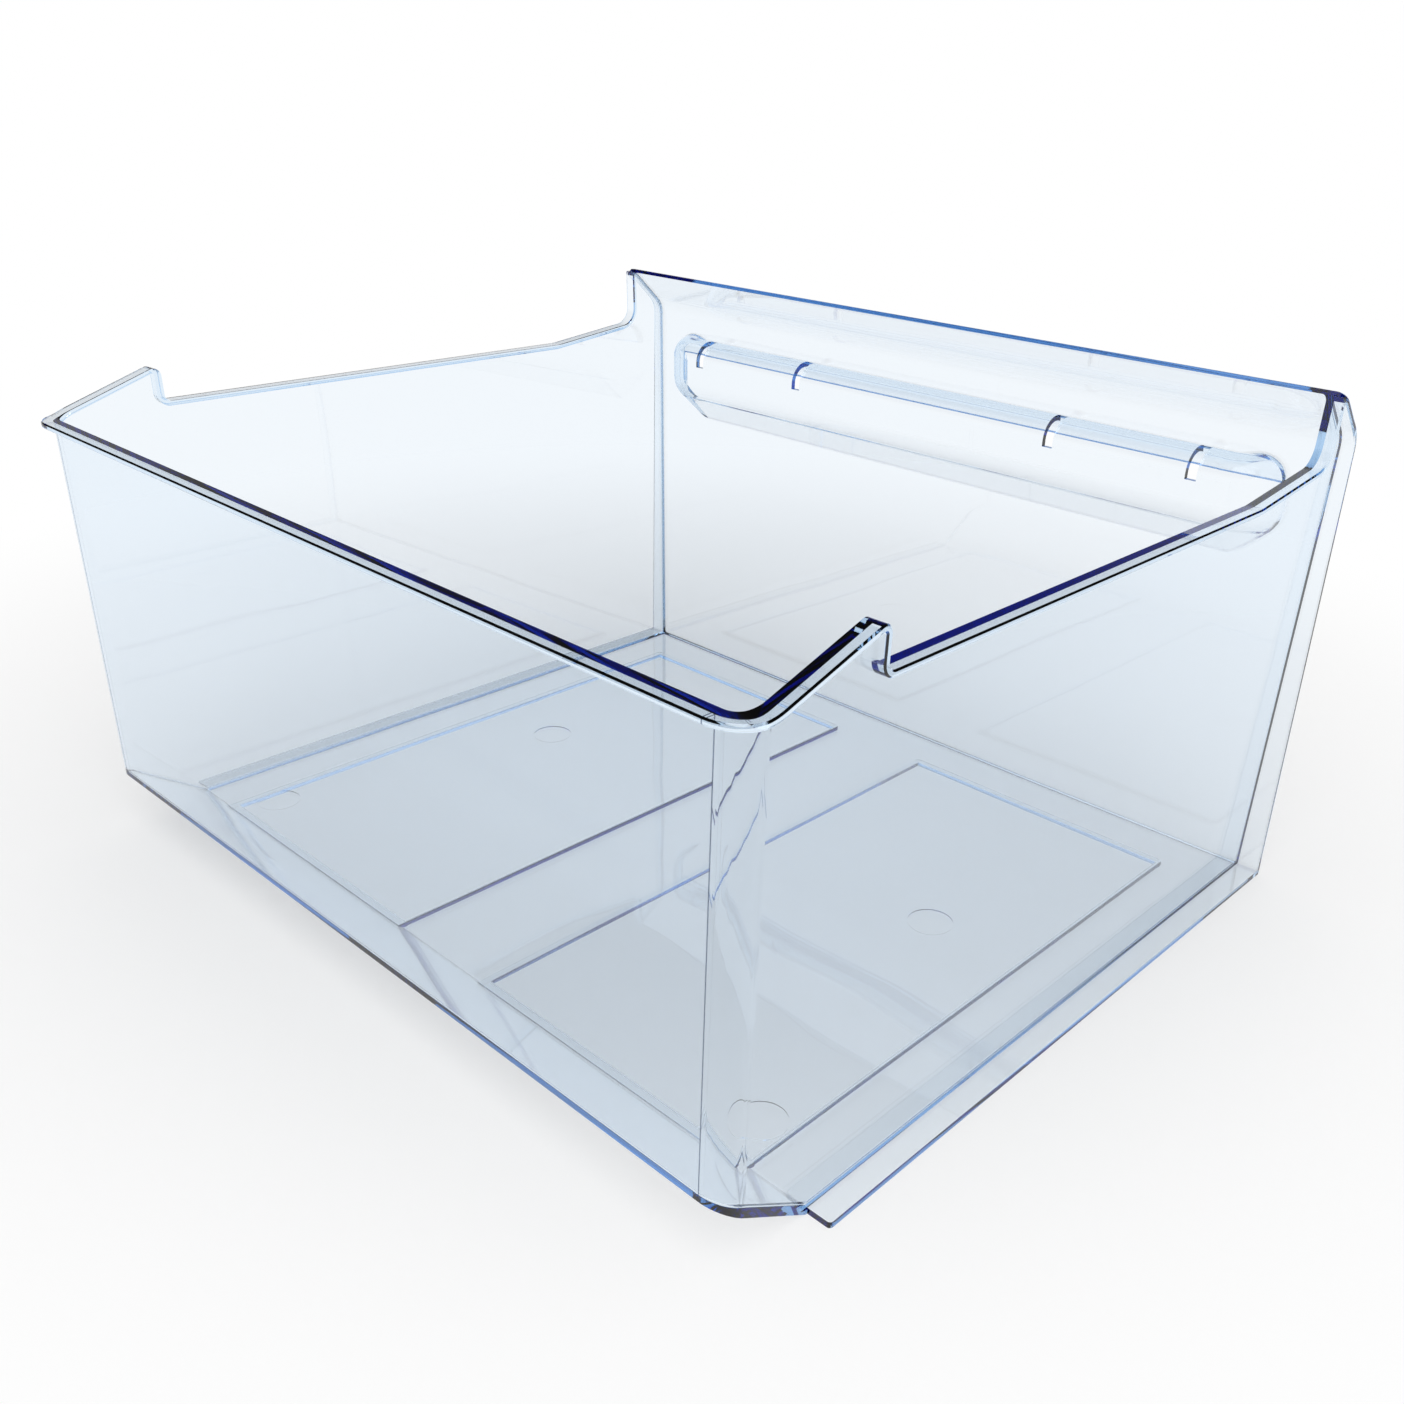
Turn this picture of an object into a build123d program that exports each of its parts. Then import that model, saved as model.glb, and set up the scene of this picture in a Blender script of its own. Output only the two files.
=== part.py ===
"""Clear freezer drawer, moulded in one piece.

Millimetres and degrees. +Z is up, the tall front panel faces -Y and the low back wall is at +Y.
The origin is at the middle of the drawer's footprint, on the surface that it stands on.
"""
import os
from math import cos, radians, sin, tan

from build123d import *

# Whole drawer
overall_depth = 362.0
panel_width = 423.0
front_height = 230.0
wall = 2.6

# Tub
runner_reach = 12.5
side_draft = 1.3
back_corner_radius = 7.5
ramp_run = 38.6
ramp_rise = 26.3
inside_fillet = 2.0

# Rim, its outward lip and the stop hooks at the back of the side walls
rim_drop = 36.2
lip_reach = 4.7
lip_thickness = 2.5
lip_edge_break = 0.6
hook_start = 4.0
hook_length = 51.5
hook_rise = 16.2
hook_start_radius = 12.0
hook_crest_radius = 3.4
hook_foot_radius = 3.0
shoulder_run = 56.0
shoulder_rise = 6.6
shoulder_start_radius = 20.0
shoulder_radius = 9.0

# Front panel
front_draft = 0.7
top_lean = 47.0
bend_radius = 12.0
bend_drop = 26.5
panel_corner_radius = 5.0
panel_edge_break = 0.6

# Grip recess of the front panel and the slots for a clip-on handle strip
grip_depth = 18.7
grip_below_bend = 18.9
grip_top_radius = 10.5
grip_fall = 36.6
grip_slope = 45.0
grip_bend_radius = 15.0
grip_axis_gap = 3.0
grip_end_gap = 35.7
grip_fillet = 1.2
grip_mouth_fillet = 1.4
slot_end_gap = 11.3
slot_inner_spacing = 158.0
slot_width = 5.4
slot_drop = 2.6
slot_panel_gap = 5.0

# Floor pads and runners
pad_rise = 1.8
pad_gap = 55.0
pad_side_margin = 24.5
pad_front_margin = 29.0
pad_corner_radius = 3.0
pad_fillet = 0.8
mark_radius = 10.0
mark_depth = 0.4
mark_side_margins = (46.5, 12.5)
mark_ramp_gaps = (162.1, 18.1)
runner_corner_radius = 1.5

# Places that follow from the sizes
inside_width = panel_width - 2 * runner_reach
rim_height = front_height - rim_drop
bend_height = front_height - bend_drop
grip_height = bend_height - grip_below_bend
grip_straight = inside_width - 2 * grip_end_gap
slot_spacings = (slot_inner_spacing, grip_straight - 2 * slot_end_gap)
pad_width = (inside_width - pad_gap) / 2 - pad_side_margin
pad_edge = pad_gap / 2 + pad_width
back_inside = overall_depth / 2 - lip_reach - wall
front_inside = -overall_depth / 2 + wall
ramp_foot = back_inside - ramp_run
ramp_slope = ramp_rise / ramp_run
ramp_drop = wall * (1 + ramp_slope**2) ** 0.5
ramp_underside_foot = ramp_foot + (ramp_drop - wall) / ramp_slope
side_slope = tan(radians(side_draft))
grip_axis_out = wall + grip_axis_gap
grip_axis = front_inside - grip_axis_out
slot_length = grip_depth + wall - slot_panel_gap

# Forms that get trimmed run past the drawer by this much
beyond = 20.0
back_limit = overall_depth / 2 + beyond
front_limit = -back_limit
top_limit = front_height + beyond
half_limit = panel_width / 2 + beyond


def ramp_height(y):
    """Height of the ramp's inner face."""
    return wall + (y - ramp_foot) * ramp_slope


def front_ends(out, height=front_height):
    """Foot and tip of the front panel's skin, seen from the side, at a distance outside its inner face."""
    lean = radians(front_draft)
    top = radians(top_lean)
    radius = bend_radius + out
    centre = front_inside + bend_radius
    foot_y = centre - radius * cos(lean) + (bend_height - radius * sin(lean)) * tan(lean)
    tip_z = height - (wall - out) * sin(top)
    tip_y = centre - radius * cos(top) + (tip_z - bend_height - radius * sin(top)) * tan(top)
    return (foot_y, 0), (tip_y, tip_z)


def front_curve(out, height=front_height):
    """Draws that skin: a leaning leg, a bend and a tip that leans back over the drawer."""
    foot, tip = front_ends(out, height)
    centre = (front_inside + bend_radius, bend_height)
    bend = CenterArc(centre, bend_radius + out, 180 + front_draft, -front_draft - top_lean)
    Line(foot, bend @ 0)
    Line(bend @ 1, tip)


def rim_curve():
    """Draws the rim seen from the side, from past the back lip to the tip of the front panel."""
    back_outside = back_inside + wall
    step = back_outside - hook_length
    rim_front, tip_z = front_ends(0)[1]
    FilletPolyline(
        (back_limit, rim_height),
        (back_outside - hook_start, rim_height),
        (step, rim_height + hook_rise),
        (step, rim_height),
        (rim_front + shoulder_run, rim_height),
        (rim_front, rim_height + shoulder_rise),
        (rim_front, tip_z),
        radius=[hook_start_radius, hook_crest_radius, hook_foot_radius, shoulder_start_radius, shoulder_radius],
    )


def border(faces):
    """Edges that belong to only one of the faces."""
    edges = faces.edges()
    return [edge for edge in edges if sum(edge.is_same(other) for other in edges) == 1]


def tub_form(grow):
    """Block between the drafted side walls, rounded at the back corners, grown outwards from the inner faces."""
    foot = inside_width / 2 + grow - wall * side_slope
    head = foot + top_limit * side_slope
    back = back_inside + grow
    with BuildPart() as form:
        with BuildSketch(Plane.XZ.offset(-back)) as section:
            with BuildLine():
                Polyline((-foot, 0), (foot, 0), (head, top_limit), (-head, top_limit), close=True)
            make_face()
        extrude(amount=back - front_limit)
        back_edges = form.faces().sort_by(Axis.Y)[-1].edges().sort_by(Axis.X)
        fillet([back_edges[0], back_edges[-1]], back_corner_radius + grow)
    return form.part


def grip_form(inset, base):
    """Ledge with a rounded top and a sloping underside, turned round at its ends, smaller by the inset."""
    radius = grip_top_radius - inset
    face = front_inside + grip_depth - inset
    slope = radians(grip_slope)
    foot = grip_height - grip_fall - grip_axis_out * tan(slope) + inset / cos(slope)
    bend = foot + (face - grip_axis) * tan(slope)
    half = grip_straight / 2
    with BuildPart() as form:
        with BuildSketch(Plane.YZ.offset(-half)) as section:
            with BuildLine():
                top = CenterArc((face - radius, grip_height), radius, 0, 180)
                FilletPolyline((grip_axis, foot), (face, bend), top @ 0, radius=grip_bend_radius - inset)
                Polyline(top @ 1, (grip_axis, grip_height), (grip_axis, foot))
            make_face()
        extrude(amount=grip_straight)
        for x, turn in ((-half, 90), (half, -90)):
            with BuildSketch(Plane.YZ.offset(x)) as end:
                add(section.sketch_local)
            revolve(axis=Axis((x, grip_axis, 0), (0, 0, 1)), revolution_arc=turn)
        split(bisect_by=Plane.XZ.offset(-base), keep=Keep.BOTTOM)
    return form.part


# Cavity: what the drawer holds, with the floor pads standing up into it
with BuildPart() as pads:
    pad_back = ramp_foot + pad_rise / ramp_slope
    pad_front = front_inside + pad_front_margin
    with BuildSketch(Plane.XY.offset(wall)) as pad_plan:
        with Locations((0, (pad_back + pad_front) / 2)):
            with GridLocations(pad_gap + pad_width, 0, 2, 1):
                Rectangle(pad_width, pad_back - pad_front)
        fillet(pad_plan.vertices().group_by(Axis.Y)[0], pad_corner_radius)
    extrude(amount=pad_rise)
    fillet(pads.faces().sort_by(Axis.Z)[-2:].edges(), pad_fillet)

with BuildPart() as cavity:
    add(tub_form(0))
    with BuildSketch(Plane.YZ) as cavity_side:
        with BuildLine():
            front_curve(0, top_limit)
            front_foot, front_tip = front_ends(0, top_limit)
            Polyline(front_tip, (back_limit, front_tip[1]), (back_limit, 0), front_foot)
        make_face()
        with BuildLine():
            Polyline(
                (front_limit, 0),
                (front_limit, wall),
                (ramp_foot, wall),
                (back_limit, ramp_height(back_limit)),
                (back_limit, 0),
                close=True,
            )
        make_face(mode=Mode.SUBTRACT)
    extrude(amount=half_limit, both=True, mode=Mode.INTERSECT)
    lower_edges = cavity.edges().filter_by_position(Axis.Z, wall - 1, wall + ramp_rise + 1)
    front_edges = cavity.edges().filter_by(lambda edge: edge.center().Y < front_inside / 2)
    front_side_edges = front_edges.filter_by(lambda edge: abs(edge.center().X) > inside_width / 2)
    fillet(lower_edges + front_side_edges, inside_fillet)
    add(pads.part, mode=Mode.SUBTRACT)
    with BuildSketch(Plane.XY.offset(wall + pad_rise)) as marks:
        for side_margin, ramp_gap in zip(mark_side_margins, mark_ramp_gaps):
            with Locations((0, ramp_foot - ramp_gap)):
                with GridLocations(2 * (pad_edge - side_margin), 0, 2, 1):
                    Circle(mark_radius)
    extrude(amount=-mark_depth)

# Tub and the lip that follows its rim
with BuildPart() as tub:
    add(tub_form(wall))
    with BuildSketch(Plane.YZ) as tub_side:
        with BuildLine():
            front_curve(wall / 2)
            Line(front_ends(wall / 2)[1], front_ends(0)[1])
            rim_curve()
            Polyline(
                (back_limit, rim_height),
                (back_limit, ramp_height(back_limit) - ramp_drop),
                (ramp_underside_foot, 0),
                front_ends(wall / 2)[0],
            )
        make_face()
    extrude(amount=half_limit, both=True, mode=Mode.INTERSECT)

with BuildPart() as lip:
    add(tub_form(wall + lip_reach))
    with BuildSketch(Plane.YZ) as lip_side:
        with BuildLine():
            rim_curve()
            offset(amount=lip_thickness, side=Side.LEFT)
        make_face()
    extrude(amount=half_limit, both=True, mode=Mode.INTERSECT)
    lip_core = tub_form(wall + lip_reach / 2)
    lip_skins = lip.faces().filter_by(lambda face: not lip_core.is_inside(face.center()))
    chamfer(border(lip_skins), lip_edge_break)

# Room that the rounded top corners of the front panel leave free
with BuildPart() as corner_cut:
    with BuildSketch(Plane.XZ.offset(back_limit)) as top_corners:
        with Locations((0, front_height - panel_corner_radius / 2)):
            with GridLocations(panel_width - panel_corner_radius, 0, 2, 1):
                Rectangle(panel_corner_radius, panel_corner_radius)
        with Locations((0, front_height - panel_corner_radius)):
            with GridLocations(panel_width - 2 * panel_corner_radius, 0, 2, 1):
                Circle(panel_corner_radius, mode=Mode.SUBTRACT)
    extrude(amount=-2 * back_limit)

# Front panel
with BuildPart() as panel:
    with BuildSketch(Plane.YZ) as panel_side:
        with BuildLine():
            front_curve(0)
            front_curve(wall)
            Line(front_ends(0)[0], front_ends(wall)[0])
            Line(front_ends(0)[1], front_ends(wall)[1])
        make_face()
    extrude(amount=panel_width / 2, both=True)
    tip_edges = panel.faces().sort_by(Axis.Z)[-1].edges().sort_by(Axis.X)
    fillet([tip_edges[0], tip_edges[-1]], panel_corner_radius)
    panel_skins = panel.faces().filter_by(lambda face: face.area > 2 * wall * panel_width)
    chamfer([edge for edge in border(panel_skins) if edge.center().Z > wall], panel_edge_break)

# Front panel with its hollow grip, open below and closed behind the panel above
mouth = split(grip_form(wall, grip_axis), bisect_by=Plane.XY.offset(grip_height), keep=Keep.BOTTOM)
with BuildPart() as front:
    add(panel.part)
    add(grip_form(0, front_inside - wall / 4))
    add(grip_form(wall, front_inside + wall / 4), mode=Mode.SUBTRACT)
    add(mouth, mode=Mode.SUBTRACT)
    skins = front.faces().filter_by(GeomType.PLANE).sort_by(SortBy.AREA)[-2:].sort_by(Axis.Y)
    fillet(skins[1].inner_wires()[0].edges(), grip_fillet)
    skins = front.faces().filter_by(GeomType.PLANE).sort_by(SortBy.AREA)[-2:].sort_by(Axis.Y)
    fillet(skins[0].inner_wires()[0].edges(), grip_mouth_fillet)
    with BuildSketch(Plane.XY.offset(grip_height - slot_drop)) as slots:
        for spacing in slot_spacings:
            with Locations((0, front_inside + slot_panel_gap + slot_length / 2)):
                with GridLocations(spacing, 0, 2, 1):
                    Rectangle(slot_width, slot_length)
    extrude(amount=slot_drop + grip_top_radius + wall, mode=Mode.SUBTRACT)

# Whole drawer
with BuildPart() as drawer:
    add(tub.part)
    add(lip.part)
    add(cavity.part, mode=Mode.SUBTRACT)
    add(grip_form(0, grip_axis), mode=Mode.SUBTRACT)
    add(corner_cut.part, mode=Mode.SUBTRACT)
    with BuildSketch() as pad_hollows:
        with Locations((0, (ramp_foot + pad_front) / 2)):
            with GridLocations(pad_gap + pad_width, 0, 2, 1):
                Rectangle(pad_width - 2 * wall, ramp_foot - pad_front - 2 * wall)
    extrude(amount=pad_rise, mode=Mode.SUBTRACT)
    runner_front = front_ends(wall / 2)[0][0]
    with BuildSketch() as runners:
        with Locations((0, (ramp_foot + runner_front) / 2)):
            with GridLocations(inside_width + runner_reach, 0, 2, 1):
                Rectangle(runner_reach, ramp_foot - runner_front)
        runner_corners = runners.vertices().group_by(Axis.Y)[-1].sort_by(Axis.X)
        fillet([runner_corners[0], runner_corners[-1]], runner_corner_radius)
    extrude(amount=wall)
    add(front.part)

drawer.part.label = "drawer"
os.makedirs("parts", exist_ok=True)
export_step(drawer.part, "parts/drawer.step")
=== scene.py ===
"""Clear freezer drawer on a plain white studio floor.

Metres, +Z up, the drawer's front panel faces -Y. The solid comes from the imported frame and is
shown by a merged copy of its mesh, in clear, faintly blue plastic.
"""

import math

import bpy
import numpy as np
from mathutils import Matrix


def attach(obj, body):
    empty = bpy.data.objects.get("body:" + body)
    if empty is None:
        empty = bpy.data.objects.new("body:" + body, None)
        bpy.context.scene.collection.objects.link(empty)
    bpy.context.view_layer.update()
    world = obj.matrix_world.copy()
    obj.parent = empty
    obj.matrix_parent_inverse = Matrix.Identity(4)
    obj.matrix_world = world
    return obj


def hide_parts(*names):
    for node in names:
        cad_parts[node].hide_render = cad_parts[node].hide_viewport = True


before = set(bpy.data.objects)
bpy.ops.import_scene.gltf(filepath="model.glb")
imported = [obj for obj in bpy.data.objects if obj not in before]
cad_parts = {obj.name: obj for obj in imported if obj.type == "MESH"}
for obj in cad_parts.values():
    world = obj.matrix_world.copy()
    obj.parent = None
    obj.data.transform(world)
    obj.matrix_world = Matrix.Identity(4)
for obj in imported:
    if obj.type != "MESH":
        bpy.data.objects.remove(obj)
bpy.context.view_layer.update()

# Camera: place, axes, lens and sensor in millimetres, shift as a share of the picture
CAMERA_PLACE = (-0.4135, 0.3971, 0.33922)
CAMERA_RIGHT = (-0.731669, -0.680883, 0.032544)
CAMERA_UP = (0.32444, -0.305857, 0.895092)
CAMERA_BACK = (-0.599499, 0.66547, 0.444691)
CAMERA_LENS = 35.223
CAMERA_SHIFT = (-0.04822, 0.02956)
SENSOR_WIDTH = 36.0
NEAREST_SEEN = 0.01

# Plastic: polished surface, and a tint that takes most from red and least from blue
PLASTIC_IOR = 1.58
PLASTIC_ROUGHNESS = 0.0
PLASTIC_DENSITY = 38.0
PLASTIC_ABSORPTION = (0.0, 0.447, 0.834, 1.0)

# Flow waves of the moulding
FLOW_SCALE = 18.0
FLOW_DETAIL = 0.0
FLOW_DEPTH = 0.00015

# Painted shade: dark lines that stand in for the dark refraction where the back wall turns into
# its corners. Half width, distance from the middle at the floor and its gain with height
PAINTED_SHADE_LINE_FOOT = 0.19143
PAINTED_SHADE_LINE_LEAN = 0.0227
PAINTED_SHADE_LINE_HALF_WIDTH = 0.00025
PAINTED_SHADE_LINE_FACE = 0.1755
PAINTED_SHADE_LINE_COLOUR = (0.08, 0.1, 0.16, 1.0)

# Mesh
MERGE_DISTANCE = 1e-6

# Surroundings: light of the world, and what mirror images show of the room above the horizon
WHITE = (1.0, 1.0, 1.0, 1.0)
WORLD_LIGHT = 0.75
ROOM_LIGHT = 0.05
ROOM_START = (0.0, 0.36)
CEILING_START = (0.8, 0.92)

# Floor: white share near the drawer and further out
FLOOR_RADIUS = 6.0
FLOOR_STEPS = 96
FLOOR_HEIGHT = -0.0003
FLOOR_PAINT = (0.92, 0.92, 0.92, 1.0)
FLOOR_MIDDLE = (0.12, -0.12, 0.0)
FLOOR_FADE = (0.22, 0.6)
FLOOR_WHITE = (0.35, 1.0)

# Lamp
LAMP_PLACE = (-0.9, 0.8, 1.9)
LAMP_AIM = (0.0, 0.0, 0.1)
LAMP_SIZE = 1.6
LAMP_POWER = 12.0

# Light that runs along inside the walls meets their faces many times
BOUNCES = 48


def new_tree(owner):
    """Empty node tree of a material or a world."""
    owner.use_nodes = True
    owner.node_tree.nodes.clear()
    return owner.node_tree


def calculate(tree, operation, *terms):
    """Result of a math node whose terms are sockets or numbers."""
    step = tree.nodes.new("ShaderNodeMath")
    step.operation = operation
    for socket, term in zip(step.inputs, terms):
        if isinstance(term, float):
            socket.default_value = term
        else:
            tree.links.new(term, socket)
    return step.outputs["Value"]


def fade(tree, value, start, result):
    """Smooth change from the first to the second result while the value passes the start range."""
    step = tree.nodes.new("ShaderNodeMapRange")
    step.interpolation_type = "SMOOTHSTEP"
    step.inputs["From Min"].default_value, step.inputs["From Max"].default_value = start
    step.inputs["To Min"].default_value, step.inputs["To Max"].default_value = result
    tree.links.new(value, step.inputs["Value"])
    return step.outputs["Result"]


def seen(tree, path):
    """One for rays of the camera, of mirror images and of views through the plastic, else zero."""
    rays = path.outputs
    mirrored = calculate(tree, "MAXIMUM", rays["Is Camera Ray"], rays["Is Glossy Ray"])
    return calculate(tree, "MAXIMUM", mirrored, rays["Is Transmission Ray"])


def painted_shade_lines(tree, place):
    """One on the thin upright lines of painted shade, which stand in for the dark refraction where
    the back wall turns into its corners. The distance from the middle is the foot plus the lean
    times the height."""
    axes = tree.nodes.new("ShaderNodeSeparateXYZ")
    tree.links.new(place, axes.inputs["Vector"])
    line = calculate(tree, "MULTIPLY_ADD", axes.outputs["Z"], PAINTED_SHADE_LINE_LEAN, PAINTED_SHADE_LINE_FOOT)
    out = calculate(tree, "ABSOLUTE", axes.outputs["X"])
    near = calculate(tree, "COMPARE", out, line, PAINTED_SHADE_LINE_HALF_WIDTH)
    outside = calculate(tree, "GREATER_THAN", axes.outputs["Y"], PAINTED_SHADE_LINE_FACE)
    return calculate(tree, "MULTIPLY", near, outside)


def plastic_material():
    """Clear moulded plastic: polished refracting surface with faint flow waves, and a blue tint
    that deepens with the way through it."""
    material = bpy.data.materials.new("clear_plastic")
    material.cycles.homogeneous_volume = True
    material.cycles.volume_sampling = "DISTANCE"
    tree = new_tree(material)
    out = tree.nodes.new("ShaderNodeOutputMaterial")
    surface = tree.nodes.new("ShaderNodeBsdfPrincipled")
    surface.inputs["Transmission Weight"].default_value = 1.0
    surface.inputs["IOR"].default_value = PLASTIC_IOR
    surface.inputs["Roughness"].default_value = PLASTIC_ROUGHNESS
    place = tree.nodes.new("ShaderNodeTexCoord")
    # Painted shade: a dark base colour on thin lines at the back corners stands in for the dark
    # refraction there
    shade = tree.nodes.new("ShaderNodeMix")
    shade.data_type = "RGBA"
    shade.inputs["A"].default_value = WHITE
    shade.inputs["B"].default_value = PAINTED_SHADE_LINE_COLOUR
    tree.links.new(painted_shade_lines(tree, place.outputs["Object"]), shade.inputs["Factor"])
    tree.links.new(shade.outputs["Result"], surface.inputs["Base Color"])
    flow = tree.nodes.new("ShaderNodeTexNoise")
    flow.inputs["Scale"].default_value = FLOW_SCALE
    flow.inputs["Detail"].default_value = FLOW_DETAIL
    tree.links.new(place.outputs["Object"], flow.inputs["Vector"])
    waves = tree.nodes.new("ShaderNodeBump")
    waves.inputs["Strength"].default_value = 1.0
    waves.inputs["Distance"].default_value = FLOW_DEPTH
    tree.links.new(flow.outputs["Fac"], waves.inputs["Height"])
    tree.links.new(waves.outputs["Normal"], surface.inputs["Normal"])
    tree.links.new(surface.outputs["BSDF"], out.inputs["Surface"])
    tint = tree.nodes.new("ShaderNodeVolumeAbsorption")
    tint.inputs["Color"].default_value = PLASTIC_ABSORPTION
    tint.inputs["Density"].default_value = PLASTIC_DENSITY
    tree.links.new(tint.outputs["Volume"], out.inputs["Volume"])
    return material


def drawer_body():
    """Copy of the drawer's mesh, merged to one closed skin that keeps the solid's own normals:
    points that round to one cell of the merge distance become one point."""
    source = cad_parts["drawer"].data
    points = np.empty(len(source.vertices) * 3)
    source.vertices.foreach_get("co", points)
    points = points.reshape(-1, 3)
    normals = np.empty(len(source.loops) * 3)
    source.corner_normals.foreach_get("vector", normals)
    normals = normals.reshape(-1, 3, 3)
    corners = np.empty(len(source.loops), dtype=np.int64)
    source.loops.foreach_get("vertex_index", corners)
    cells = np.round(points / MERGE_DISTANCE).astype(np.int64)
    _, first, merged = np.unique(cells, axis=0, return_index=True, return_inverse=True)
    triangles = merged.reshape(-1)[corners].reshape(-1, 3)
    whole = (triangles != np.roll(triangles, 1, axis=1)).all(axis=1)
    mesh = bpy.data.meshes.new("drawer_body")
    mesh.from_pydata(points[first].tolist(), [], triangles[whole].tolist())
    mesh.polygons.foreach_set("use_smooth", np.ones(len(mesh.polygons), dtype=bool))
    mesh.normals_split_custom_set(normals[whole].reshape(-1, 3).tolist())
    mesh.materials.append(plastic_material())
    body = bpy.data.objects.new("drawer_body", mesh)
    bpy.context.scene.collection.objects.link(body)
    return body


def floor_material():
    """Pale paint that keeps the drawer's soft shadow, and is seen as plain white further out."""
    material = bpy.data.materials.new("floor_paint")
    tree = new_tree(material)
    out = tree.nodes.new("ShaderNodeOutputMaterial")
    paint = tree.nodes.new("ShaderNodeBsdfDiffuse")
    paint.inputs["Color"].default_value = FLOOR_PAINT
    white = tree.nodes.new("ShaderNodeEmission")
    white.inputs["Color"].default_value = WHITE
    mix = tree.nodes.new("ShaderNodeMixShader")
    place = tree.nodes.new("ShaderNodeTexCoord")
    distance = tree.nodes.new("ShaderNodeVectorMath")
    distance.operation = "DISTANCE"
    distance.inputs[1].default_value = FLOOR_MIDDLE
    tree.links.new(place.outputs["Object"], distance.inputs[0])
    share = fade(tree, distance.outputs["Value"], FLOOR_FADE, FLOOR_WHITE)
    path = tree.nodes.new("ShaderNodeLightPath")
    tree.links.new(calculate(tree, "MULTIPLY", seen(tree, path), share), mix.inputs["Fac"])
    tree.links.new(paint.outputs["BSDF"], mix.inputs[1])
    tree.links.new(white.outputs["Emission"], mix.inputs[2])
    tree.links.new(mix.outputs["Shader"], out.inputs["Surface"])
    return material


def studio_floor():
    """Flat disc under the drawer: points at one radius, evenly turned about the middle."""
    turn = np.arange(FLOOR_STEPS) * (2 * math.pi / FLOOR_STEPS)
    height = np.full(FLOOR_STEPS, FLOOR_HEIGHT)
    corners = np.stack([FLOOR_RADIUS * np.cos(turn), FLOOR_RADIUS * np.sin(turn), height], axis=1)
    mesh = bpy.data.meshes.new("floor")
    mesh.from_pydata(corners.tolist(), [], [list(range(FLOOR_STEPS))])
    mesh.materials.append(floor_material())
    floor = bpy.data.objects.new("floor", mesh)
    bpy.context.scene.collection.objects.link(floor)
    return floor


def studio_world():
    """White surroundings, also straight through the plastic. Its mirror images show a dim room
    above the white horizon, with a white ceiling."""
    world = bpy.data.worlds.new("studio")
    tree = new_tree(world)
    out = tree.nodes.new("ShaderNodeOutputWorld")
    background = tree.nodes.new("ShaderNodeBackground")
    background.inputs["Color"].default_value = WHITE
    place = tree.nodes.new("ShaderNodeTexCoord")
    axes = tree.nodes.new("ShaderNodeSeparateXYZ")
    tree.links.new(place.outputs["Generated"], axes.inputs["Vector"])
    room = fade(tree, axes.outputs["Z"], ROOM_START, (1.0, ROOM_LIGHT))
    ceiling = fade(tree, axes.outputs["Z"], CEILING_START, (0.0, 1.0))
    path = tree.nodes.new("ShaderNodeLightPath")
    straight = calculate(tree, "SUBTRACT", 1.0, path.outputs["Is Reflection Ray"])
    shown = calculate(tree, "MAXIMUM", calculate(tree, "MAXIMUM", room, ceiling), straight)
    lit = calculate(tree, "SUBTRACT", shown, WORLD_LIGHT)
    extra = calculate(tree, "MULTIPLY", lit, seen(tree, path))
    strength = calculate(tree, "ADD", extra, WORLD_LIGHT)
    tree.links.new(strength, background.inputs["Strength"])
    tree.links.new(background.outputs["Background"], out.inputs["Surface"])
    bpy.context.scene.world = world


def placed(holder, right, up, back, place):
    """Object put at a place, with its axes along three directions."""
    bpy.context.scene.collection.objects.link(holder)
    holder.matrix_world = Matrix(
        [[right[i], up[i], back[i], place[i]] for i in range(3)] + [[0.0, 0.0, 0.0, 1.0]]
    )
    return holder


def soft_lamp():
    """Large round lamp above the back of the drawer, turned towards its aim."""
    lamp = bpy.data.lights.new("soft_lamp", "AREA")
    lamp.shape = "DISK"
    lamp.size = LAMP_SIZE
    lamp.energy = LAMP_POWER
    back = np.subtract(LAMP_PLACE, LAMP_AIM)
    back = back / np.linalg.norm(back)
    right = np.cross((0.0, 0.0, 1.0), back)
    right = right / np.linalg.norm(right)
    up = np.cross(back, right)
    holder = placed(bpy.data.objects.new("soft_lamp", lamp), right, up, back, LAMP_PLACE)
    holder.visible_glossy = False


def photo_camera():
    """Camera at the photograph's place and angle."""
    camera = bpy.data.cameras.new("camera")
    camera.sensor_width = SENSOR_WIDTH
    camera.lens = CAMERA_LENS
    camera.shift_x, camera.shift_y = CAMERA_SHIFT
    camera.clip_start = NEAREST_SEEN
    holder = bpy.data.objects.new("camera", camera)
    placed(holder, CAMERA_RIGHT, CAMERA_UP, CAMERA_BACK, CAMERA_PLACE)
    bpy.context.scene.camera = holder


body = drawer_body()
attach(body, "root")
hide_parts("drawer")

studio_floor()
studio_world()
soft_lamp()
photo_camera()

scene = bpy.context.scene
scene.view_settings.view_transform = "Standard"
scene.cycles.max_bounces = BOUNCES
scene.cycles.transmission_bounces = BOUNCES
scene.cycles.glossy_bounces = BOUNCES
